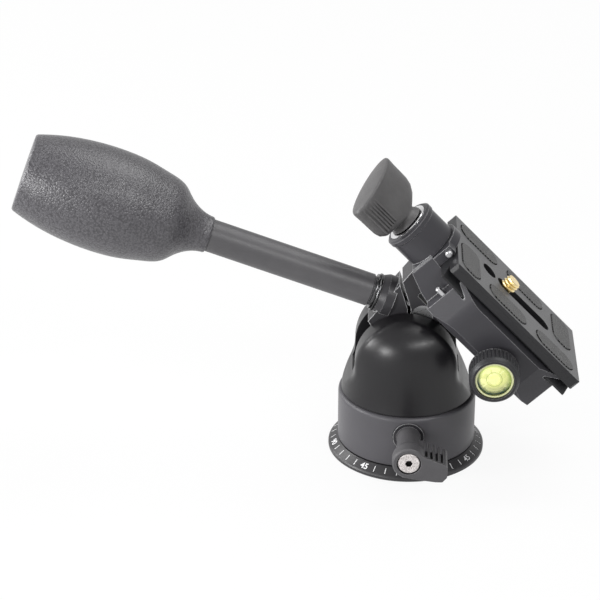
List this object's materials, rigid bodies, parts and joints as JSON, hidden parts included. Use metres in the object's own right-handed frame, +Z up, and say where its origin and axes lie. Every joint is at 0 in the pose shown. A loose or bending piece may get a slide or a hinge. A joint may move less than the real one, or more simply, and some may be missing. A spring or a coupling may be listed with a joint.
{
  "type": "three way pan tilt head",
  "caption": "Three way pan and tilt head with a long twist-lock handle, a wing knob for side tilt, a lever for pan, and a quick-release plate with a brass camera screw.",
  "frame": {"origin": "middle of the underside of the foot, at the mouth of the tripod thread", "axes": "+Z up along the pan axis, -X towards the handle, +X where the plate leans down, +Y away from the pan lock lever and the clamp knob"},
  "size_m": [0.213, 0.0765, 0.1271],
  "materials": {
    "ring_black": "satin black with white scale",
    "housing_black": "satin black paint",
    "fork_black": "smooth semi-gloss black",
    "block_black": "semi-gloss black, worn bright at the edges",
    "clamp_black": "semi-gloss black",
    "plate_black": "fine matt black",
    "tube_black": "satin black",
    "knob_black": "knurled black",
    "knob_grey": "satin moulded plastic",
    "lever_grey": "satin moulded plastic",
    "grip_rubber": "pebbled",
    "pad_rubber": "ribbed matt",
    "steel": "machined",
    "steel_dark": "blackened",
    "cap_screw": "bead blasted",
    "washer_chrome": "polished",
    "brass": "bright",
    "nylon": "plain",
    "level_rim": "glossy",
    "level_green": "clear fluid",
    "level_air": "clear",
    "level_clear": "clear"
  },
  "bodies": {
    "foot": {"base_disc": "ring_black", "tripod_bush": "steel", "pan_bolt": "steel"},
    "pan_housing_group": {"pan_washer": "nylon", "pan_housing": "housing_black", "pan_lock_collar": "steel_dark", "tilt_fork": "fork_black", "fork_screws": "steel", "tilt_axle": "steel", "axle_plug": "fork_black", "ear_washers": "nylon"},
    "brake_shoe": {"pan_brake_shoe": "brass"},
    "pan_lever": {"pan_lock_lever": "lever_grey", "pan_lock_spindle": "steel", "pan_lock_screw": "cap_screw"},
    "tilt_group": {"tilt_block": "block_black", "barrel_nut": "steel", "side_tilt_spindle": "steel", "neck_screws": "steel"},
    "handle": {"handle_stud": "steel", "handle_plug": "block_black", "handle_washer": "washer_chrome", "handle_ring": "steel_dark", "handle_tube": "tube_black", "handle_grip": "grip_rubber", "grip_cap": "grip_rubber"},
    "clamp": {"clamp_body": "clamp_black", "jaw_pins": "steel", "jaw_springs": "steel", "side_tilt_set_screw": "steel", "side_tilt_washer": "washer_chrome", "catch_bracket": "clamp_black", "catch_pin": "steel"},
    "wing_knob": {"side_tilt_knob": "knob_grey", "side_tilt_stud": "steel"},
    "jaw": {"clamp_jaw": "clamp_black", "jaw_stop_pin": "steel"},
    "clamp_knob_group": {"clamp_knob": "knob_black", "clamp_screw": "steel", "level_cup": "level_rim", "level_fluid": "level_green", "level_bubble": "level_air", "level_lens": "level_clear"},
    "plate": {"camera_plate": "plate_black", "rubber_pads": "pad_rubber"},
    "screw_slider": {"screw_carriage": "steel"},
    "camera_screw_group": {"camera_screw": "brass", "screw_clip": "nylon"}
  },
  "joints": [
    {"name": "pan", "type": "hinge", "parent": "foot", "child": "pan_housing_group", "pos_m": [0, 0, 0], "axis": [0, 0, 1], "continuous": true},
    {"name": "pan_lock_turn", "type": "hinge", "parent": "pan_housing_group", "child": "pan_lever", "pos_m": [0.0005, -0.03, 0.018], "axis": [0, -1, 0], "range_deg": [0, 75]},
    {"name": "brake_shoe_slide", "type": "slide", "parent": "pan_housing_group", "child": "brake_shoe", "axis": [0, -1, 0], "range_m": [0, 0.00020833]},
    {"name": "tilt", "type": "hinge", "parent": "pan_housing_group", "child": "tilt_group", "pos_m": [0, 0, 0.0405], "axis": [0, 1, 0], "range_deg": [-56, 19]},
    {"name": "handle_lock_turn", "type": "hinge", "parent": "tilt_group", "child": "handle", "pos_m": [-0.01389, 0, 0.06639], "axis": [-0.9409, 0, 0.3387], "range_deg": [0, 270]},
    {"name": "side_tilt", "type": "hinge", "parent": "tilt_group", "child": "clamp", "pos_m": [0.02656, 0, 0.06597], "axis": [0.6921, 0, -0.7218], "range_deg": [-10, 10]},
    {"name": "side_tilt_knob_turn", "type": "hinge", "parent": "clamp", "child": "wing_knob", "pos_m": [-0.00459, 0, 0.09845], "axis": [-0.6921, 0, 0.7218], "range_deg": [0, 360]},
    {"name": "jaw_slide", "type": "slide", "parent": "clamp", "child": "jaw", "axis": [0, -1, 0], "range_m": [0, 0.0018]},
    {"name": "clamp_knob_turn", "type": "hinge", "parent": "jaw", "child": "clamp_knob_group", "pos_m": [0.0316, -0.028, 0.04656], "axis": [0, -1, 0], "range_deg": [0, 648]},
    {"name": "plate_slide", "type": "slide", "parent": "clamp", "child": "plate", "axis": [0.6921, 0, -0.7218], "range_m": [0, 0.015]},
    {"name": "screw_slide", "type": "slide", "parent": "plate", "child": "screw_slider", "axis": [0.6921, 0, -0.7218], "range_m": [-0.0012, 0.0202]},
    {"name": "camera_screw_turn", "type": "hinge", "parent": "screw_slider", "child": "camera_screw_group", "pos_m": [0.03377, 0, 0.06596], "axis": [0.7218, 0, 0.6921], "continuous": true}
  ],
  "couplings": [
    {"joint": "pan_lock_turn", "follows": "brake_shoe_slide", "rad_per_m": 6283.2},
    {"joint": "clamp_knob_turn", "follows": "jaw_slide", "rad_per_m": 6283.2}
  ]
}
